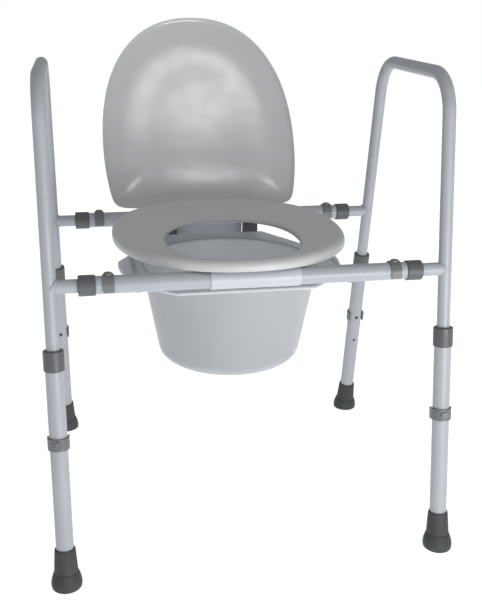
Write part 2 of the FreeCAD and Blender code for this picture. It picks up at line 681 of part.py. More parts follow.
def web(points, start, length):
    """A plate across X with a straight-sided outline given as depth and height."""
    outline = [Vector(start, depth, height) for depth, height in points]
    return Part.Face(Part.makePolygon(outline + outline[:1])).extrude(Vector(length, 0, 0))


def make_hinge_bracket(side):
    """A plastic bracket clamped round the rear tube, with an eye for the hinge pin behind it."""
    width = size("bracket_width")
    start = size("bracket_inner_x") if side == "right" else -size("bracket_inner_x") - width
    tube_y = size("cross_half_depth") - size("hinge_y")
    tube_z = size("cross_height") - size("hinge_z")
    tube = size("outer_tube_diameter") / 2
    clamp = tube + size("bracket_wall")
    eye = size("hinge_eye_radius")
    solid = cylinder_along_x(clamp, start, width, tube_y, tube_z)
    solid = solid.fuse(cylinder_along_x(eye, start, width))
    bridge = [(tube_y, tube_z - clamp + 2), (0, -eye), (0, eye), (tube_y, tube_z + tube + 2)]
    solid = solid.fuse(web(bridge, start, width))
    boss_bottom = tube_z - size("bracket_boss_drop")
    boss = block((start, tube_y - size("bracket_boss_front"), boss_bottom),
                 (start + width, tube_y + size("bracket_boss_rear"), tube_z))
    solid = solid.fuse(boss)
    # The top is flat, level with the seat saddles, so the seat's skirt clears it.
    flat = tube_z + tube + size("saddle_wall")
    solid = solid.cut(block((start - 1, tube_y - clamp, flat), (start + width + 1, 0, flat + clamp)))
    solid = solid.cut(cylinder_along_x(tube, start - 1, width + 2, tube_y, tube_z))
    solid = solid.cut(cylinder_along_x(size("hinge_pin_radius"), start - 1, width + 2))
    screw_foot = Vector(start + width / 2, tube_y, boss_bottom)
    solid = solid.cut(
        Part.makeCylinder(size("screw_radius"), size("bracket_boss_drop"), screw_foot, AXIS_Z))
    bracket = doc.addObject("Part::Feature", side + "_hinge_bracket_shape")
    bracket.Shape = solid.removeSplitter()
    named(bracket, side + "_hinge_bracket", hinge_place())


def make_bracket_screws():
    """A pan-head screw under each hinge bracket, up to the rear tube."""
    tube_y = size("cross_half_depth") - size("hinge_y")
    tube_z = size("cross_height") - size("hinge_z")
    boss_bottom = tube_z - size("bracket_boss_drop")
    length = size("bracket_boss_drop") - size("outer_tube_diameter") / 2 - size("slide_clearance")
    head_bottom = boss_bottom - size("screw_head_height")
    slot_top = head_bottom + size("screw_slot_depth")
    long_half = size("screw_slot_reach")
    short_half = size("screw_slot_half_width")
    screws = []
    for sign in (-1, 1):
        across = sign * (size("bracket_inner_x") + size("bracket_width") / 2)
        shank_foot = Vector(across, tube_y, boss_bottom)
        head_foot = Vector(across, tube_y, head_bottom)
        screw = Part.makeCylinder(size("screw_radius"), length, shank_foot, AXIS_Z)
        head = Part.makeCylinder(size("screw_head_radius"), size("screw_head_height"), head_foot, AXIS_Z)
        screw = screw.fuse(head)
        for half_x, half_y in ((long_half, short_half), (short_half, long_half)):
            screw = screw.cut(block((across - half_x, tube_y - half_y, head_bottom),
                                    (across + half_x, tube_y + half_y, slot_top)))
        screws.append(screw)
    group = doc.addObject("Part::Feature", "bracket_screws_shape")
    group.Shape = Part.makeCompound(screws)
    named(group, "bracket_screws", hinge_place())


def lug_start(sign, inside):
    """Where a hinge lug begins along X: the seat's lugs lie inside the brackets, the lid's outside."""
    gap = size("lug_gap")
    if inside:
        near = size("bracket_inner_x") - gap - size("lug_width")
    else:
        near = size("bracket_inner_x") + size("bracket_width") + gap
    return near if sign > 0 else -near - size("lug_width")


def make_hinge_pins():
    """One steel pin through each bracket, with a head at its inner end and a spread tip outside."""
    head = size("hinge_pin_head_length")
    radius = size("hinge_pin_head_radius")
    lug = size("lug_gap") * 2 + size("lug_width")
    inner = size("bracket_inner_x") - lug
    outer = size("bracket_inner_x") + size("bracket_width") + lug
    pins = []
    for sign in (-1, 1):
        shank = cylinder_along_x(size("hinge_pin_radius"), inner if sign > 0 else -outer, outer - inner)
        inner_head = cylinder_along_x(radius, inner - head if sign > 0 else -inner, head)
        outer_tip = cylinder_along_x(radius, outer if sign > 0 else -outer - head, head)
        pins.append(shank.fuse([inner_head, outer_tip]))
    group = doc.addObject("Part::Feature", "hinge_pins_shape")
    group.Shape = Part.makeCompound(pins)
    named(group, "hinge_pins", hinge_place())


def make_bucket_rail(side):
    """A bent steel bar under the bucket's ear, welded between the front and rear cross tubes."""
    name = side + "_bucket_rail"
    rail_top = "Sizes.bucket_rim_height-Sizes.bucket_rim_thickness-Sizes.slide_clearance"
    level = f"({rail_top}-Sizes.rail_diameter/2)"
    body = bent_bar_body(name, ("Sizes.rail_diameter/2",), level, "Sizes.rail_bend_radius",
                         "Sizes.rail_angle", "Sizes.cross_half_depth", "Sizes.cross_height")
    across = size("rail_x")
    tubes = []
    for end, sign in ENDS.items():
        tube = doc.addObject("Part::Cylinder", f"{name}_{end}_tube")
        bind(tube, "Radius", "Sizes.outer_tube_diameter/2")
        bind(tube, "Height", "Sizes.outer_tube_diameter*2")
        start = Vector(-size("outer_tube_diameter"), sign * size("cross_half_depth"), size("cross_height"))
        tube.Placement = Placement(start, Rotation(AXIS_Y, 90))
        tubes.append(tube)
    both = doc.addObject("Part::Fuse", name + "_tubes")
    both.Base, both.Tool = tubes
    place = Placement(at_frame(SIDES[side] * across, 0, 0), Rotation())
    named(add_cut(name + "_trimmed", body, both), name, place)


# ---------------------------------------------------------------- bucket, seat and lid

def bucket_outline():
    """A face of the rim's outline: straight in front, round at both ears, slanting in to the tail."""
    ear = size("bucket_ear_radius")
    front = size("bucket_mouth_radius") + size("bucket_lip")
    rear = size("bucket_tail_reach")
    flank = size("bucket_flank_reach")
    slant = math.radians(size("bucket_flank_angle"))
    first = -math.asin(front / ear)
    last = slant - math.acos(flank / ear)
    tail = (flank - rear * math.sin(slant)) / math.cos(slant)
    arcs = []
    for sign in (1, -1):
        arcs.append([Vector(sign * ear * math.cos(angle), ear * math.sin(angle), 0)
                     for angle in (first, (first + last) / 2, last)])
    right, left = arcs
    edges = [
        Part.Arc(*right).toShape(),
        Part.makeLine(right[2], Vector(tail, rear, 0)),
        Part.makeLine(Vector(tail, rear, 0), Vector(-tail, rear, 0)),
        Part.makeLine(Vector(-tail, rear, 0), left[2]),
        Part.Arc(*left[::-1]).toShape(),
        Part.makeLine(left[0], right[0]),
    ]
    return Part.Face(Part.Wire(edges))


def make_bucket():
    """A round tapered bucket whose rim has an ear at each side and a tail behind."""
    name = "bucket"
    body = new_body(name)
    profile = add_sketch(body, name + "_profile", "XZ_Plane")
    depth = size("bucket_depth")
    wall = size("bucket_wall")
    rim = size("bucket_rim_thickness")
    mouth = size("bucket_mouth_radius")
    base = size("bucket_base_radius")
    slope = (mouth - base) / depth
    rounding = size("bucket_base_rounding")
    side_angle = math.atan(slope)
    turn = math.pi / 2 - side_angle
    setback = rounding * math.tan(turn / 2)
    outer_arc_low = Vector(base - setback, 0, 0)
    outer_arc_high = Vector(base + setback * math.sin(side_angle), setback * math.cos(side_angle), 0)
    outer_arc_mid = Vector(
        outer_arc_low.x + rounding * math.sin(turn / 2), rounding * (1 - math.cos(turn / 2)), 0)
    thick = wall / math.cos(side_angle)
    inner_rounding = rounding - wall
    inner_low = Vector(outer_arc_low.x, wall, 0)
    inner_mid = Vector(inner_low.x + inner_rounding * math.sin(turn / 2),
                       wall + inner_rounding * (1 - math.cos(turn / 2)), 0)
    inner_high = Vector(outer_arc_high.x - wall * math.cos(side_angle),
                        outer_arc_high.y + wall * math.sin(side_angle), 0)
    rim_edge = size("bucket_turned_radius")
    under = Vector(base + slope * (depth - rim), depth - rim, 0)
    mouth_inner = Vector(mouth - thick, depth, 0)
    outline = [
        Part.LineSegment(Vector(0, 0, 0), outer_arc_low),
        Part.Arc(outer_arc_low, outer_arc_mid, outer_arc_high),
        Part.LineSegment(outer_arc_high, under),
        Part.LineSegment(under, Vector(rim_edge, depth - rim, 0)),
        Part.LineSegment(Vector(rim_edge, depth - rim, 0), Vector(rim_edge, depth, 0)),
        Part.LineSegment(Vector(rim_edge, depth, 0), mouth_inner),
        Part.LineSegment(mouth_inner, inner_high),
        Part.Arc(inner_high, inner_mid, inner_low),
        Part.LineSegment(inner_low, Vector(0, wall, 0)),
        Part.LineSegment(Vector(0, wall, 0), Vector(0, 0, 0)),
    ]
    for piece in outline:
        profile.addGeometry(piece)
    add_revolution(body, name + "_turned", profile)
    trim = doc.addObject("Part::Feature", name + "_outline")
    trim.Shape = bucket_outline().extrude(Vector(0, 0, depth + size("trim_margin") * 2))
    trim.Placement = Placement(Vector(0, 0, -size("trim_margin")), Rotation())
    common = doc.addObject("Part::Common", name + "_trimmed")
    common.Base = body
    common.Tool = trim
    foot = at_frame(size("bucket_offset_x"), size("bucket_offset_y"), size("bucket_rim_height") - depth)
    named(common, name, Placement(foot, Rotation()))


def oval_radius(angle, half_width, reach, power):
    """Distance from the middle of a superellipse to its edge in one direction."""
    across = abs(math.cos(angle)) / half_width
    along = abs(math.sin(angle)) / reach
    return (across ** power + along ** power) ** (-1 / power)


def closed_curve(radii, middle, height):
    """A smooth closed curve through points given by their distances from its middle."""
    points = []
    for step, radius in enumerate(radii):
        angle = 2 * math.pi * step / len(radii)
        points.append(Vector(radius * math.cos(angle), middle + radius * math.sin(angle), height))
    curve = Part.BSplineCurve()
    curve.interpolate(Points=points, PeriodicFlag=True)
    return Part.Wire(curve.toShape())


def seat_wire(height, inset=0.0):
    """The seat's oval outline."""
    half_width = size("seat_half_width") - inset
    radii = []
    for step in range(OUTLINE_STEPS):
        angle = 2 * math.pi * step / OUTLINE_STEPS
        if math.sin(angle) < 0:
            radii.append(oval_radius(angle, half_width, size("seat_front_reach") - inset, SEAT_FRONT_POWER))
        else:
            radii.append(oval_radius(angle, half_width, size("seat_rear_reach") - inset, SEAT_REAR_POWER))
    return closed_curve(radii, 0, height)


def lid_wire(height, inset=0.0):
    """The lid's egg-shaped outline: round in front, tapered and cut straight at the rear."""
    half_width = size("lid_half_width") - inset
    radii = []
    for step in range(OUTLINE_STEPS):
        angle = 2 * math.pi * step / OUTLINE_STEPS
        if math.sin(angle) < 0:
            radii.append(oval_radius(angle, half_width, size("lid_front_reach") - inset, LID_FRONT_POWER))
            continue
        flank = oval_radius(angle, half_width, size("lid_rear_taper") - inset, LID_FLANK_POWER)
        straight = math.sin(angle) / (size("lid_rear_reach") - inset)
        radii.append((flank ** -LID_CORNER_POWER + straight ** LID_CORNER_POWER) ** (-1 / LID_CORNER_POWER))
    return closed_curve(radii, size("lid_widest_y"), height)


def hole_wire(height, inset=0.0):
    half_width = size("seat_hole_half_width") - inset
    half_length = size("seat_hole_half_length") - inset
    radii = [oval_radius(2 * math.pi * step / HOLE_STEPS, half_width, half_length, HOLE_POWER)
             for step in range(HOLE_STEPS)]
    return closed_curve(radii, size("seat_hole_y"), height)


def loft(wires):
    return Part.makeLoft(wires, True, False)


def hinge_lug(sign, inside, arm):
    """An eye on the hinge axis and the arm that joins it to the seat or the lid."""
    start = lug_start(sign, inside)
    width = size("lug_width")
    eye = cylinder_along_x(size("hinge_eye_radius"), start, width, size("hinge_y"), size("hinge_z"))
    return eye.fuse(web(arm, start, width))


def pin_bore():
    """The space that the hinge pins need in the lugs."""
    radius = size("hinge_pin_radius") + size("hinge_pin_clearance")
    reach = size("seat_half_width")
    return cylinder_along_x(radius, -reach, reach * 2, size("hinge_y"), size("hinge_z"))


def seat_dish(drop):
    """The space above the seat's sloping top, or above a surface that lies lower by drop."""
    outer = size("seat_top") + 0.3 - drop
    inner = size("seat_top") - size("seat_dish") - 0.4 - drop
    return loft([hole_wire(inner, -3.6), seat_wire(outer, size("seat_crest_inset"))])


def make_seat():
    """The ring seat: a moulded shell with a skirt, a sloping top, a rim round the hole and two lugs."""
    top = size("seat_top")
    bottom = top - size("seat_thickness")
    wall = size("seat_wall")
    edge = top - size("seat_dish")
    # Each pair is a height and how far the outline is drawn in at that height.
    rounded = [(bottom, 0.5), (bottom + 3, 0), (top - 7, 0.8), (top - 3, 3.5), (top - 0.8, 8), (top, 14)]
    solid = loft([seat_wire(height, inset) for height, inset in rounded])
    flared = [(bottom - 1, 0), (edge - 4, 0), (edge - 1.2, -1.6), (edge, -5)]
    hole = loft([hole_wire(height, inset) for height, inset in flared])
    under = [(bottom - 1, wall), (top - 8, wall + 0.4), (top - 5.5, wall + 4), (top - 4, wall + 12)]
    hollow = loft([seat_wire(height, inset) for height, inset in under])
    rim = [(bottom - 2, -wall), (bottom + 1, -wall), (edge - 3, -wall - 3), (top, -wall - 8)]
    hollow = hollow.cut(loft([hole_wire(height, inset) for height, inset in rim]))
    hollow = hollow.cut(seat_dish(wall))
    solid = solid.cut(hole).cut(seat_dish(0)).cut(hollow)
    hinge_y = size("hinge_y")
    hinge_z = size("hinge_z")
    rear_edge = size("seat_rear_reach")
    arm = [(rear_edge - 12, bottom), (rear_edge - 1, bottom), (hinge_y - 7.9, hinge_z),
           (hinge_y + 5, hinge_z + 6), (rear_edge + 6, top - 4), (rear_edge - 12, top - 4)]
    for sign in (-1, 1):
        solid = solid.fuse(hinge_lug(sign, True, arm))
    solid = solid.cut(pin_bore())
    seat = doc.addObject("Part::Feature", "seat_shape")
    seat.Shape = solid.removeSplitter()
    moulding = seat.Shape.copy()
    named(seat, "seat", Placement(at_frame(size("seat_offset_x"), 0, 0), Rotation()))
    return moulding


def make_seat_buffers(seat_moulding):
    """Rubber buffers under the seat: two on the front saddle and two on the rear one."""
    top = size("seat_top")
    saddle_top = size("cross_height") + size("outer_tube_diameter") / 2 + size("saddle_wall")
    depth = size("cross_half_depth")
    buffers = []
    for sign in (-1, 1):
        for across, along in ((size("front_buffer_x"), -depth + 4), (size("rear_buffer_x"), depth - 6)):
            foot = Vector(sign * across, along, saddle_top + size("slide_clearance"))
            buffer = Part.makeCylinder(size("buffer_radius"), top - foot.z, foot, AXIS_Z)
            # What is left above the seat's plastic is dropped.
            below = min(buffer.cut(seat_moulding).Solids, key=lambda solid: solid.CenterOfMass.z)
            buffers.append(below)
    group = doc.addObject("Part::Feature", "seat_buffers_shape")
    group.Shape = Part.makeCompound(buffers)
    named(group, "seat_buffers", Placement(at_frame(size("seat_offset_x"), 0, 0), Rotation()))


def dome(rim, crown, inset):
    """A solid dome over the lid's outline: steep at the rim, flat in the middle."""
    reach = size("lid_dome_reach") - inset
    wires = []
    for share in DOME_SHARES:
        rise = crown * math.sqrt(1 - (1 - share) ** 2)
        wires.append(lid_wire(rim + rise, inset + share * reach))
    return loft(wires)


def make_lid():
    """The lid, shaped closed and then turned back about the hinge to its open rest position."""
    rim = size("seat_top") + size("lid_gap")
    wall = size("lid_wall")
    outer = dome(rim, size("lid_crown"), 0)
    solid = outer.cut(dome(rim, size("lid_crown") - wall, wall))
    hinge_y = size("hinge_y")
    hinge_z = size("hinge_z")
    rear_edge = size("lid_widest_y") + size("lid_rear_reach")
    arm = [(rear_edge - 14, rim + 1), (rear_edge + 2.2, rim - 4), (hinge_y - 7.6, hinge_z + 2),
           (hinge_y + 6.5, hinge_z + 4.6), (rear_edge + 10, rim + 5), (rear_edge - 6, rim + 9)]
    for sign in (-1, 1):
        solid = solid.fuse(hinge_lug(sign, False, arm))
    solid = solid.cut(pin_bore())
    solid.rotate(Vector(0, hinge_y, hinge_z), AXIS_X, -size("lid_open_angle"))
    lid = doc.addObject("Part::Feature", "lid_shape")
    lid.Shape = solid.removeSplitter()
    named(lid, "lid", Placement(at_frame(size("seat_offset_x"), 0, 0), Rotation()))


# ---------------------------------------------------------------- build, check and write

def build():
    for end in ENDS:
        make_cross_tube(end)
    for side in SIDES:
        make_hoop(side)
        make_glides(side)
        make_hinge_bracket(side)
        make_bucket_rail(side)
        for end in ENDS:
            make_stub(side, end)
            make_cross_bush(side, end)
            make_cross_clip(side, end)
            make_leg_tube(side, end)
            make_leg_bush(side, end)
            make_leg_clip(side, end)
            make_foot(side, end)
            make_foot_washer(side, end)
    make_front_saddle()
    make_rear_saddle()
    make_bracket_screws()
    make_hinge_pins()
    make_bucket()
    make_seat_buffers(make_seat())
    make_lid()


def check():
    doc.recompute()
    for obj in doc.Objects:
        if "Invalid" in obj.State or "Error" in obj.State:
            raise RuntimeError(f"{obj.Label} did not build: {obj.State}")
    for part in sub_parts:
        if part.Shape.isNull() or not part.Shape.isValid():
            raise RuntimeError(f"{part.Label} has no valid shape")


def write():
    for part in sub_parts:
        part.Shape.exportStep(f"parts/{part.Label}.step")
    print(len(sub_parts), "parts written")


build()
check()
write()
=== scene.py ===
"""Looks of the commode chair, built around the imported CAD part.

Metres. +X is to the right as seen from the front, +Y points to the back, +Z is up, and the floor is Z 0.
"""
import json
import math

import bmesh
import bpy
from mathutils import Matrix, Vector


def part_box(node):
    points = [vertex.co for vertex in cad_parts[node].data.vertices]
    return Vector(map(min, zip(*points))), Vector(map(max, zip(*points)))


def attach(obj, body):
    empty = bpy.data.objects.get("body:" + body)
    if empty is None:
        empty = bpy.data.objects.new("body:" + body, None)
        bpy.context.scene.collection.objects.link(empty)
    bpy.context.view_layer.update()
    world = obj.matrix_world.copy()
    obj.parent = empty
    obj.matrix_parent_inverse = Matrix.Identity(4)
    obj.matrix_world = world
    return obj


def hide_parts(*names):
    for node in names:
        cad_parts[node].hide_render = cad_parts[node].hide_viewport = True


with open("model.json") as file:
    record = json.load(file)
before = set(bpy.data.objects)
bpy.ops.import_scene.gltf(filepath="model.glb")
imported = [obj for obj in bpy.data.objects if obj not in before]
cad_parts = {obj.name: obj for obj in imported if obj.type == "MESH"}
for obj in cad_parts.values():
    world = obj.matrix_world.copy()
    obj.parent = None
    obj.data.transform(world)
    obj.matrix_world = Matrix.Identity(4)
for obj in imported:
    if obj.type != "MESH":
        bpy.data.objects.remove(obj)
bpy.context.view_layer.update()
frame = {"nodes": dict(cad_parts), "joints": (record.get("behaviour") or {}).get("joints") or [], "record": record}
NODES = frame["nodes"]
SCENE = bpy.context.scene
SLOT_OF = {row["node"]: row["material_slot"] for row in frame["record"]["subparts"]}


# ---------------------------------------------------------------- camera

CAMERA_PLACE = Vector((-0.2364, -1.3775, 0.8015))
CAMERA_YAW = 10.912
CAMERA_PITCH = -19.858
CAMERA_ROLL = 0.722
CAMERA_LENS = 51.486


def make_camera():
    """The viewing angle: from the front, a little to the left and above the armrests."""
    data = bpy.data.cameras.new("camera")
    data.lens = CAMERA_LENS
    data.clip_start = 0.01
    camera = bpy.data.objects.new("camera", data)
    # A camera looks down and its up is +Y, so it is raised to level, tilted, turned and then rolled.
    turn = Matrix.Rotation(-math.radians(CAMERA_YAW), 4, "Z")
    turn @= Matrix.Rotation(math.radians(90 + CAMERA_PITCH), 4, "X")
    turn @= Matrix.Rotation(math.radians(CAMERA_ROLL), 4, "Z")
    camera.matrix_world = Matrix.Translation(CAMERA_PLACE) @ turn
    SCENE.collection.objects.link(camera)
    SCENE.camera = camera


# ---------------------------------------------------------------- materials

NOISE_ROUGHNESS = 0.55


def node(tree, kind, **inputs):
    """Add a shader node and set its sockets by name, where _ stands for a space."""
    made = tree.nodes.new(kind)
    for name, value in inputs.items():
        made.inputs[name.replace("_", " ")].default_value = value
    return made


def new_material(name, color, roughness, **sockets):
    """A principled material, with its tree and shader returned for more nodes."""
    material = bpy.data.materials.new(name)
    material.use_nodes = True
    tree = material.node_tree
    shader = tree.nodes["Principled BSDF"]
    shader.inputs["Base Color"].default_value = (*color, 1)
    shader.inputs["Roughness"].default_value = roughness
    for socket, value in sockets.items():
        shader.inputs[socket.replace("_", " ")].default_value = value
    return material, tree, shader


def noise(tree, scale, detail):
    """Noise with a number of waves per metre."""
    made = node(tree, "ShaderNodeTexNoise", Scale=scale, Detail=detail, Roughness=NOISE_ROUGHNESS)
    place = tree.nodes.new("ShaderNodeTexCoord").outputs["Object"]
    tree.links.new(place, made.inputs["Vector"])
    return made.outputs["Fac"]


def ramp(tree, factor, low, high, from_low, from_high):
    """Map a factor's range to a range of numbers."""
    made = tree.nodes.new("ShaderNodeMapRange")
    made.inputs["From Min"].default_value = from_low
    made.inputs["From Max"].default_value = from_high
    made.inputs["To Min"].default_value = low
    made.inputs["To Max"].default_value = high
    tree.links.new(factor, made.inputs["Value"])
    return made.outputs["Result"]


def mix_colors(tree, factor, first, second):
    """Blend two fixed colours by a factor."""
    made = tree.nodes.new("ShaderNodeMix")
    made.data_type = "RGBA"
    tree.links.new(factor, made.inputs[0])
    # Of the node's sockets, 6 and 7 are its two colours and output 2 is the mixed colour.
    made.inputs[6].default_value = (*first, 1)
    made.inputs[7].default_value = (*second, 1)
    return made.outputs[2]


def add_grain(tree, shader, scale, depth):
    """A fine uneven surface, with its waves per metre and its depth in metres."""
    bump = node(tree, "ShaderNodeBump", Strength=1.0, Distance=depth)
    tree.links.new(noise(tree, scale, 2), bump.inputs["Height"])
    tree.links.new(bump.outputs["Normal"], shader.inputs["Normal"])


def painted_tube():
    """Powder coat: a pale blue grey, slightly patchy, with a soft coat over it."""
    material, tree, shader = new_material("painted_tube", (0.36, 0.38, 0.41), 0.42, Coat_Weight=0.12,
                                          Coat_Roughness=0.28)
    patches = noise(tree, 14, 4)
    color = mix_colors(tree, ramp(tree, patches, 0, 1, 0.4, 0.7), (0.355, 0.378, 0.41), (0.335, 0.355, 0.38))
    tree.links.new(color, shader.inputs["Base Color"])
    tree.links.new(ramp(tree, noise(tree, 25, 3), 0.38, 0.46, 0.3, 0.7), shader.inputs["Roughness"])
    add_grain(tree, shader, 700, 0.000012)
    return material


def plastic(name, color, second, roughness, grain, depth, **sockets):
    """A moulded plastic: faint cloudy colour, uneven gloss and a fine grain."""
    material, tree, shader = new_material(name, color, roughness, **sockets)
    mixed = mix_colors(tree, ramp(tree, noise(tree, 11, 4), 0, 1, 0.35, 0.7), color, second)
    tree.links.new(mixed, shader.inputs["Base Color"])
    gloss = ramp(tree, noise(tree, 45, 5), roughness * 0.85, roughness * 1.2, 0.3, 0.7)
    tree.links.new(gloss, shader.inputs["Roughness"])
    add_grain(tree, shader, grain, depth)
    return material


def zinc_steel():
    """Dull plated metal with uneven gloss."""
    material, tree, shader = new_material("zinc_steel", (0.55, 0.55, 0.54), 0.35, Metallic=1.0)
    tree.links.new(ramp(tree, noise(tree, 90, 5), 0.25, 0.5, 0.3, 0.7), shader.inputs["Roughness"])
    add_grain(tree, shader, 900, 0.00003)
    return material


def make_materials():
    """All materials by name. The lid has one of its own: glossier than the seat's, and a little lighter than the
    seat's plastic to paint in the stronger light on the open lid.
    """
    return {
        "painted_tube": painted_tube(),
        "dark_bush_plastic": plastic("dark_bush_plastic", (0.076, 0.081, 0.087), (0.09, 0.094, 0.10),
                                     0.42, 900, 0.00003),
        "grey_clip_plastic": plastic("grey_clip_plastic", (0.12, 0.127, 0.133), (0.14, 0.147, 0.153),
                                     0.4, 900, 0.00003),
        "foot_rubber": plastic("foot_rubber", (0.032, 0.035, 0.034), (0.046, 0.049, 0.047),
                               0.65, 700, 0.00006),
        "zinc_steel": zinc_steel(),
        "seat_plastic": plastic("seat_plastic", (0.48, 0.49, 0.495), (0.46, 0.47, 0.475), 0.36, 40,
                                0.00005),
        # The lid's colour is the seat's plastic made a little lighter, as painted light for the brighter light
        # that falls on the open lid.
        "lid_plastic_painted_light": plastic("lid_plastic_painted_light", (0.52, 0.53, 0.53), (0.50, 0.51, 0.51), 0.14, 30,
                               0.0002),
        "bucket_plastic": plastic("bucket_plastic", (0.36, 0.38, 0.41), (0.35, 0.37, 0.395), 0.34, 500,
                                  0.00002, Subsurface_Weight=0.9, Subsurface_Radius=(1, 1, 1),
                                  Subsurface_Scale=0.02),
        "saddle_plastic": plastic("saddle_plastic", (0.47, 0.495, 0.53), (0.46, 0.48, 0.52), 0.4, 700,
                                  0.00002),
    }


# ---------------------------------------------------------------- seat and lid

MM = 0.001
STEPS = 144
SEAT_THICKNESS = 15.5 * MM
SEAT_REAR_Y = 188 * MM
SEAT_DISH = 7.5 * MM
SEAT_WALL = 3.5 * MM
SEAT_POWERS = (2.2, 2.3)
HOLE_HALF_WIDTH = 102 * MM
HOLE_HALF_LENGTH = 121 * MM
HOLE_Y = -46 * MM
HOLE_POWER = 2.2
HINGE_DEPTH = 204 * MM
EYE_RADIUS = 8 * MM
LUG_WIDTH = 12 * MM
LUG_EDGE = 1.2 * MM
LUG_GAP = 1 * MM
EYE_STEPS = 14
LID_GAP = 0.8 * MM
LID_HALF_WIDTH = 178 * MM
LID_Y = 69 * MM
LID_FRONT = 249 * MM
LID_REAR = 119 * MM
LID_TAPER = 290 * MM
LID_FRONT_POWER = 2.27
LID_CORNER_POWER = 20
LID_CROWN = 17 * MM
LID_WALL = 2.8 * MM
LID_DOME_REACH = 100 * MM
LID_MIDDLE_SHIFT = 70 * MM
LID_MIDDLE_RISE = 0.6 * MM


def joint(name):
    """The frame's row for one joint."""
    return next(row for row in frame["joints"] if row["name"] == name)


HINGE = Vector(joint("seat_hinge")["pos_m"])
# The middle plane of the frame, from which depths are given.
MIDDLE_Y = HINGE.y - HINGE_DEPTH
SEAT_LOW, SEAT_HIGH = (Vector(corner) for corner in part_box("seat"))
SEAT_TOP = SEAT_HIGH.z
SEAT_HALF_WIDTH = (SEAT_HIGH.x - SEAT_LOW.x) / 2
SEAT_FRONT = MIDDLE_Y - SEAT_LOW.y


def oval(angle, half_width, reach, power):
    """Distance from the middle of a superellipse to its edge in one direction."""
    across = abs(math.cos(angle)) / half_width
    along = abs(math.sin(angle)) / reach
    return (across ** power + along ** power) ** (-1 / power)


def loop(radius_at, middle, height):
    """A closed loop of points whose distance from a middle depends on the direction."""
    points = []
    for step in range(STEPS):
        angle = 2 * math.pi * step / STEPS
        radius = radius_at(angle)
        points.append(Vector((HINGE.x + radius * math.cos(angle),
                              MIDDLE_Y + middle + radius * math.sin(angle), height)))
    return points


def seat_loop(height, inset):
    """The seat's outline at a height, drawn in by an inset."""
    def radius_at(angle):
        front = math.sin(angle) < 0
        reach = SEAT_FRONT if front else SEAT_REAR_Y
        return oval(angle, SEAT_HALF_WIDTH - inset, reach - inset, SEAT_POWERS[0 if front else 1])
    return loop(radius_at, 0, height)


def hole_loop(height, inset):
    """The outline of the seat's hole. A negative inset makes it larger."""
    def radius_at(angle):
        return oval(angle, HOLE_HALF_WIDTH - inset, HOLE_HALF_LENGTH - inset, HOLE_POWER)
    return loop(radius_at, HOLE_Y, height)


def lid_loop(height, inset):
    """The closed lid's outline: an oval front, tapering flanks and a straight rear edge."""
    def radius_at(angle):
        half_width = LID_HALF_WIDTH - inset
        if math.sin(angle) < 0:
            return oval(angle, half_width, LID_FRONT - inset, LID_FRONT_POWER)
        flank = oval(angle, half_width, LID_TAPER - inset, 2)
        straight = math.sin(angle) / (LID_REAR - inset)
        return (flank ** -LID_CORNER_POWER + straight ** LID_CORNER_POWER) ** (-1 / LID_CORNER_POWER)
    return loop(radius_at, LID_Y, height)


def between(first, second, share, height_share):
    """A loop part of the way from one loop to another, with its height blended by its own share."""
    made = []
    for near, far in zip(first, second):
        point = near.lerp(far, share)
        point.z = near.z + (far.z - near.z) * height_share
        made.append(point)
    return made


def bridged(loops, closed):
    """Vertices and quads that join each loop to the next one, and the last to the first if closed."""
    vertices = [point for made in loops for point in made]
    faces = []
    pairs = list(zip(range(len(loops)), range(1, len(loops))))
    if closed:
        pairs.append((len(loops) - 1, 0))
    for first, second in pairs:
        for step in range(STEPS):
            following = (step + 1) % STEPS
            faces.append((first * STEPS + step, first * STEPS + following,
                          second * STEPS + following, second * STEPS + step))
    return vertices, faces


def lug_plate(outline, start):
    """Vertices and faces of a lug across X, from an outline of depths and heights."""
    count = len(outline)
    vertices = [Vector((across, depth, height)) for across in (start, start + LUG_WIDTH)
                for depth, height in outline]
    faces = [tuple(range(count)), tuple(range(2 * count - 1, count - 1, -1))]
    for corner in range(count):
        following = (corner + 1) % count
        faces.append((corner, corner + count, following + count, following))
    return vertices, faces


def make_object(name, vertices, faces, material):
    """A smooth shaded object whose faces all point outwards."""
    mesh = bpy.data.meshes.new(name)
    mesh.from_pydata([tuple(point) for point in vertices], [], faces)
    mesh.materials.append(MATERIALS[material])
    mesh.validate()
    shell = bmesh.new()
    shell.from_mesh(mesh)
    bmesh.ops.recalc_face_normals(shell, faces=shell.faces)
    shell.to_mesh(mesh)
    shell.free()
    for face in mesh.polygons:
        face.use_smooth = True
    made = bpy.data.objects.new(name, mesh)
    SCENE.collection.objects.link(made)
    return made


def declare(made, body, slot, *replaced):
    """Put a piece on the body that it rides on, and hide the nodes that it stands for. The slot argument, its
    finish, is not used.
    """
    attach(made, body)
    if replaced:
        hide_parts(*replaced)


def subdivide(made):
    """Smooth a piece by one level of subdivision."""
    modifier = made.modifiers.new("rounding", "SUBSURF")
    modifier.levels = 1
    modifier.render_levels = 1


def round_edges(made):
    """Round the sharp edges of a lug."""
    modifier = made.modifiers.new("edges", "BEVEL")
    modifier.width = LUG_EDGE
    modifier.segments = 3
    modifier.limit_method = "ANGLE"
    modifier.angle_limit = math.radians(35)
    modifier.harden_normals = True


def eye_arc(first, last):
    """Points round the hinge eye between two directions, in degrees from the back."""
    points = []
    for step in range(EYE_STEPS + 1):
        angle = math.radians(first + (last - first) * step / EYE_STEPS)
        points.append((HINGE.y + EYE_RADIUS * math.cos(angle), HINGE.z + EYE_RADIUS * math.sin(angle)))
    return points


def lug_starts(outwards):
    """Where the two lugs of a part begin along X, beside the hinge brackets."""
    low, high = (Vector(corner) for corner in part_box("right_hinge_bracket"))
    near = high.x + LUG_GAP if outwards else low.x - LUG_GAP - LUG_WIDTH
    offset = near - HINGE.x
    return HINGE.x + offset, HINGE.x - offset - LUG_WIDTH


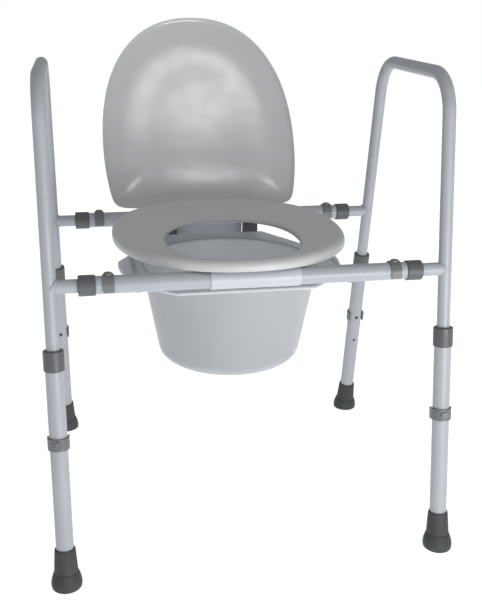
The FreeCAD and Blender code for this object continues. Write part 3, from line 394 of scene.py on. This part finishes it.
def make_seat():
    """The ring seat as one smooth shell, hollow underneath, with a sloping top."""
    top = SEAT_TOP
    bottom = top - SEAT_THICKNESS
    edge = top - SEAT_DISH
    wall = SEAT_WALL
    # Pairs, in millimetres: a height above the bottom or a depth below the top, then an inset.
    skirt = [(bottom + up * MM, inset * MM) for up, inset in ((0, 1.1), (0.3, 0.4), (1.2, 0.05), (4, 0))]
    shoulder = [(top - down * MM, inset * MM) for down, inset in
                ((7.5, 0.5), (5, 1.6), (3, 3.4), (1.4, 6.2), (0.5, 9.4), (0.05, 13))]
    loops = [seat_loop(height, inset) for height, inset in skirt + shoulder]
    crest = seat_loop(top, 13 * MM)
    lip = hole_loop(edge, -6 * MM)
    loops += [between(crest, lip, share, share ** 1.15) for share in (0.12, 0.28, 0.46, 0.64, 0.82, 0.96)]
    inner = [(edge - down * MM, -inset * MM) for down, inset in ((0.3, 4.2), (1.1, 2.0), (2.3, 0.6), (4, 0))]
    loops += [hole_loop(height, inset) for height, inset in inner]
    loops += [hole_loop(bottom + up * MM, -inset * MM) for up, inset in ((1, 0.05), (0.2, 0.5), (0, 1.2))]
    loops += [hole_loop(bottom, -wall + 0.8 * MM), hole_loop(bottom + 1 * MM, -wall)]
    ceiling_in = hole_loop(edge - wall, -wall - 5 * MM)
    ceiling_out = seat_loop(top - wall, 16 * MM)
    loops += [between(ceiling_in, ceiling_out, share, share) for share in (0, 0.1, 0.4, 0.7, 0.95)]
    loops += [seat_loop(top - 5.5 * MM, wall + 4 * MM), seat_loop(top - 8.5 * MM, wall + 0.6 * MM)]
    loops += [seat_loop(bottom + 1 * MM, wall), seat_loop(bottom, wall - 0.8 * MM)]
    vertices, faces = bridged(loops, True)
    seat = make_object("seat_shell", vertices, faces, "seat_plastic")
    subdivide(seat)
    declare(seat, "seat_assembly", "seat_plastic", "seat")
    rear = MIDDLE_Y + SEAT_REAR_Y
    outline = [(rear - 12 * MM, bottom + 0.5 * MM), (rear - 1 * MM, bottom + 0.5 * MM)]
    outline += eye_arc(180, 410)
    outline += [(rear + 6 * MM, top - 4 * MM), (rear - 12 * MM, top - 4 * MM)]
    for side, start in zip(("right", "left"), lug_starts(False)):
        vertices, faces = lug_plate(outline, start)
        lug = make_object(side + "_seat_lug", vertices, faces, "seat_plastic")
        round_edges(lug)
        declare(lug, "seat_assembly", "seat_plastic")


def opened(point):
    """Turn a point of the closed lid back to the lid's open place."""
    turn = Matrix.Rotation(math.radians(joint("lid_hinge")["range_deg"][0]), 3, "X")
    return HINGE + turn @ (point - HINGE)


def make_lid():
    """The lid as one smooth domed shell, shaped closed and turned back to where it rests."""
    rim = SEAT_TOP + LID_GAP
    # How far each loop lies from the rim towards the top of the dome.
    shares = (0.004, 0.02, 0.05, 0.1, 0.17, 0.26, 0.37, 0.5, 0.65, 0.82, 1)

    def dome_loop(share, inset, crown):
        rise = crown * math.sqrt(1 - (1 - share) ** 2)
        return lid_loop(rim + rise, inset + share * (LID_DOME_REACH - inset))

    def towards_middle(edge_loop):
        middle = Vector((HINGE.x, MIDDLE_Y + LID_Y - LID_MIDDLE_SHIFT, edge_loop[0].z + LID_MIDDLE_RISE))
        return [[point.lerp(middle, share) for point in edge_loop] for share in (0.3, 0.6, 0.85, 0.97)]

    outside = [dome_loop(share, 0.5 * MM, LID_CROWN) for share in shares]
    inside = [dome_loop(share, LID_WALL, LID_CROWN - LID_WALL) for share in shares]
    crown = towards_middle(outside[-1])
    hollow = towards_middle(inside[-1])
    edge = [lid_loop(rim + 0.4 * MM, 0), lid_loop(rim, 0.7 * MM), lid_loop(rim, LID_WALL - 0.7 * MM)]
    loops = crown[::-1] + outside[::-1] + edge + inside + hollow
    vertices, faces = bridged(loops, False)
    faces.append(tuple(range(STEPS)))
    last = (len(loops) - 1) * STEPS
    faces.append(tuple(range(last + STEPS - 1, last - 1, -1)))
    lid = make_object("lid_shell", [opened(point) for point in vertices], faces, "lid_plastic_painted_light")
    subdivide(lid)
    declare(lid, "lid_assembly", "seat_plastic", "lid")
    rear = MIDDLE_Y + SEAT_REAR_Y
    outline = [(rear - 14 * MM, rim + 1 * MM), (rear + 2.2 * MM, rim - 4 * MM)]
    outline += eye_arc(165, 395)
    outline += [(rear + 10 * MM, rim + 5 * MM), (rear - 6 * MM, rim + 9 * MM)]
    for side, start in zip(("right", "left"), lug_starts(True)):
        vertices, faces = lug_plate(outline, start)
        lug = make_object(side + "_lid_lug", [opened(point) for point in vertices], faces, "lid_plastic_painted_light")
        round_edges(lug)
        declare(lug, "lid_assembly", "seat_plastic")


# ---------------------------------------------------------------- welds

LEG_SPLAY = math.radians(8.8)
WELD_RADIUS = 1.5 * MM
WELD_STEPS = 96
WELD_SIDES = 8
WELD_RIPPLES = 24
WELD_RIPPLE_SHARE = 0.14
# The least squared depth of the curve in front of the hoop's middle, as a share of the radius squared.
WELD_LEAST_DEPTH = 0.04


def weld_path(stub, front):
    """A curve round a stub close to where it meets the leg of its hoop, and the stub's middle.

    It tilts the opposite way to the leg, so at the stub's sides it lies up to 3 mm off the real joint.
    """
    low, high = (Vector(corner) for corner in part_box(stub))
    middle = (low + high) / 2
    radius = (high.z - low.z) / 2
    outwards = 1 if middle.x > 0 else -1
    hoop_low, hoop_high = (Vector(corner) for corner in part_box(stub.split("_")[1] + "_hoop_tube"))
    hoop_x = (hoop_low.x + hoop_high.x) / 2
    slope = -LEG_SPLAY if front else LEG_SPLAY
    path = []
    for step in range(WELD_STEPS):
        angle = 2 * math.pi * step / WELD_STEPS
        aside = math.cos(angle + slope)
        depth = math.sqrt(max(1 - aside * aside, WELD_LEAST_DEPTH)) * radius
        path.append(Vector((hoop_x - outwards * depth, middle.y + radius * math.cos(angle),
                            middle.z + radius * math.sin(angle))))
    return path, middle


def make_weld(name, body, stub, front):
    """A rippled bead round a stub, close to the joint with its hoop."""
    path, middle = weld_path(stub, front)
    vertices = []
    for step, point in enumerate(path):
        along = (path[(step + 1) % WELD_STEPS] - path[step - 1]).normalized()
        away = (point - Vector((point.x, middle.y, middle.z))).normalized()
        across = along.cross(away)
        ripple = math.sin(2 * math.pi * WELD_RIPPLES * step / WELD_STEPS)
        thick = WELD_RADIUS * (1 + WELD_RIPPLE_SHARE * ripple)
        for side in range(WELD_SIDES):
            turn = 2 * math.pi * side / WELD_SIDES
            vertices.append(point + thick * (math.cos(turn) * away + math.sin(turn) * across))
    faces = []
    for step in range(WELD_STEPS):
        following = (step + 1) % WELD_STEPS
        for side in range(WELD_SIDES):
            beside = (side + 1) % WELD_SIDES
            faces.append((step * WELD_SIDES + side, step * WELD_SIDES + beside,
                          following * WELD_SIDES + beside, following * WELD_SIDES + side))
    bead = make_object(name, vertices, faces, "painted_tube")
    subdivide(bead)
    declare(bead, body, "painted_tube")


def make_welds():
    """One bead for each of the four stubs."""
    for end in ("front", "rear"):
        for side in ("left", "right"):
            make_weld(f"{end}_{side}_weld", side + "_side_frame", f"{end}_{side}_stub", end == "front")


# ---------------------------------------------------------------- stage

SIDE_LIGHT = 0.36
TOP_LIGHT = 0.52
FLOOR_GLOW = 0.66
FLOOR_REACH = 6.0
# How far up a direction points, from 0 level to 1 straight up, where the light starts and stops changing.
SIDE_LEVEL = 0.1
TOP_LEVEL = 0.8


def make_floor():
    """A plain white floor that glows a little, so that it looks as white as the background."""
    mesh = bpy.data.meshes.new("floor")
    corners = [(across * FLOOR_REACH, along * FLOOR_REACH, 0)
               for across, along in ((-1, -1), (1, -1), (1, 1), (-1, 1))]
    mesh.from_pydata(corners, [], [(0, 1, 2, 3)])
    floor = bpy.data.objects.new("floor", mesh)
    SCENE.collection.objects.link(floor)
    material = new_material("floor_white", (0.93, 0.93, 0.93), 0.8, Emission_Color=(1, 1, 1, 1),
                            Emission_Strength=FLOOR_GLOW)[0]
    # The floor is large enough for bounced rays to find it, so it isn't sampled as a lamp.
    material.cycles.emission_sampling = "NONE"
    mesh.materials.append(material)


def make_world():
    """Plain white behind the object, and a dimmer light on it that is a little stronger from above."""
    world = bpy.data.worlds.new("studio")
    world.use_nodes = True
    tree = world.node_tree
    light = tree.nodes["Background"]
    direction = tree.nodes.new("ShaderNodeSeparateXYZ")
    tree.links.new(tree.nodes.new("ShaderNodeTexCoord").outputs["Generated"], direction.inputs["Vector"])
    level = ramp(tree, direction.outputs["Z"], SIDE_LIGHT, TOP_LIGHT, SIDE_LEVEL, TOP_LEVEL)
    tree.links.new(level, light.inputs["Strength"])
    light.inputs["Color"].default_value = (0.98, 0.99, 1.0, 1)
    white = tree.nodes.new("ShaderNodeBackground")
    white.inputs["Color"].default_value = (1, 1, 1, 1)
    seen = tree.nodes.new("ShaderNodeLightPath").outputs["Is Camera Ray"]
    mixed = tree.nodes.new("ShaderNodeMixShader")
    tree.links.new(seen, mixed.inputs["Fac"])
    tree.links.new(light.outputs["Background"], mixed.inputs[1])
    tree.links.new(white.outputs["Background"], mixed.inputs[2])
    tree.links.new(mixed.outputs["Shader"], tree.nodes["World Output"].inputs["Surface"])
    SCENE.world = world


def area_light(name, place, target, width, height, watts):
    """A soft rectangular lamp aimed at a point."""
    data = bpy.data.lights.new(name, "AREA")
    data.shape = "RECTANGLE"
    data.size = width
    data.size_y = height
    data.energy = watts
    light = bpy.data.objects.new(name, data)
    aim = Vector(target) - Vector(place)
    light.rotation_euler = aim.to_track_quat("-Z", "Y").to_euler()
    light.location = place
    SCENE.collection.objects.link(light)


# ---------------------------------------------------------------- scene

make_camera()
MATERIALS = make_materials()
for node_name, node_object in NODES.items():
    node_object.data.materials.clear()
    node_object.data.materials.append(MATERIALS[SLOT_OF[node_name]])
make_seat()
make_lid()
make_welds()
make_floor()
make_world()
area_light("key", place=(0.55, -1.75, 0.3), target=(0, -0.1, 0.35), width=0.9, height=0.5, watts=15)
area_light("glint", place=(0.43, -1.6, 2.9), target=(0, 0.15, 0.6), width=0.35, height=0.2, watts=2)

SCENE.view_settings.view_transform = "Standard"
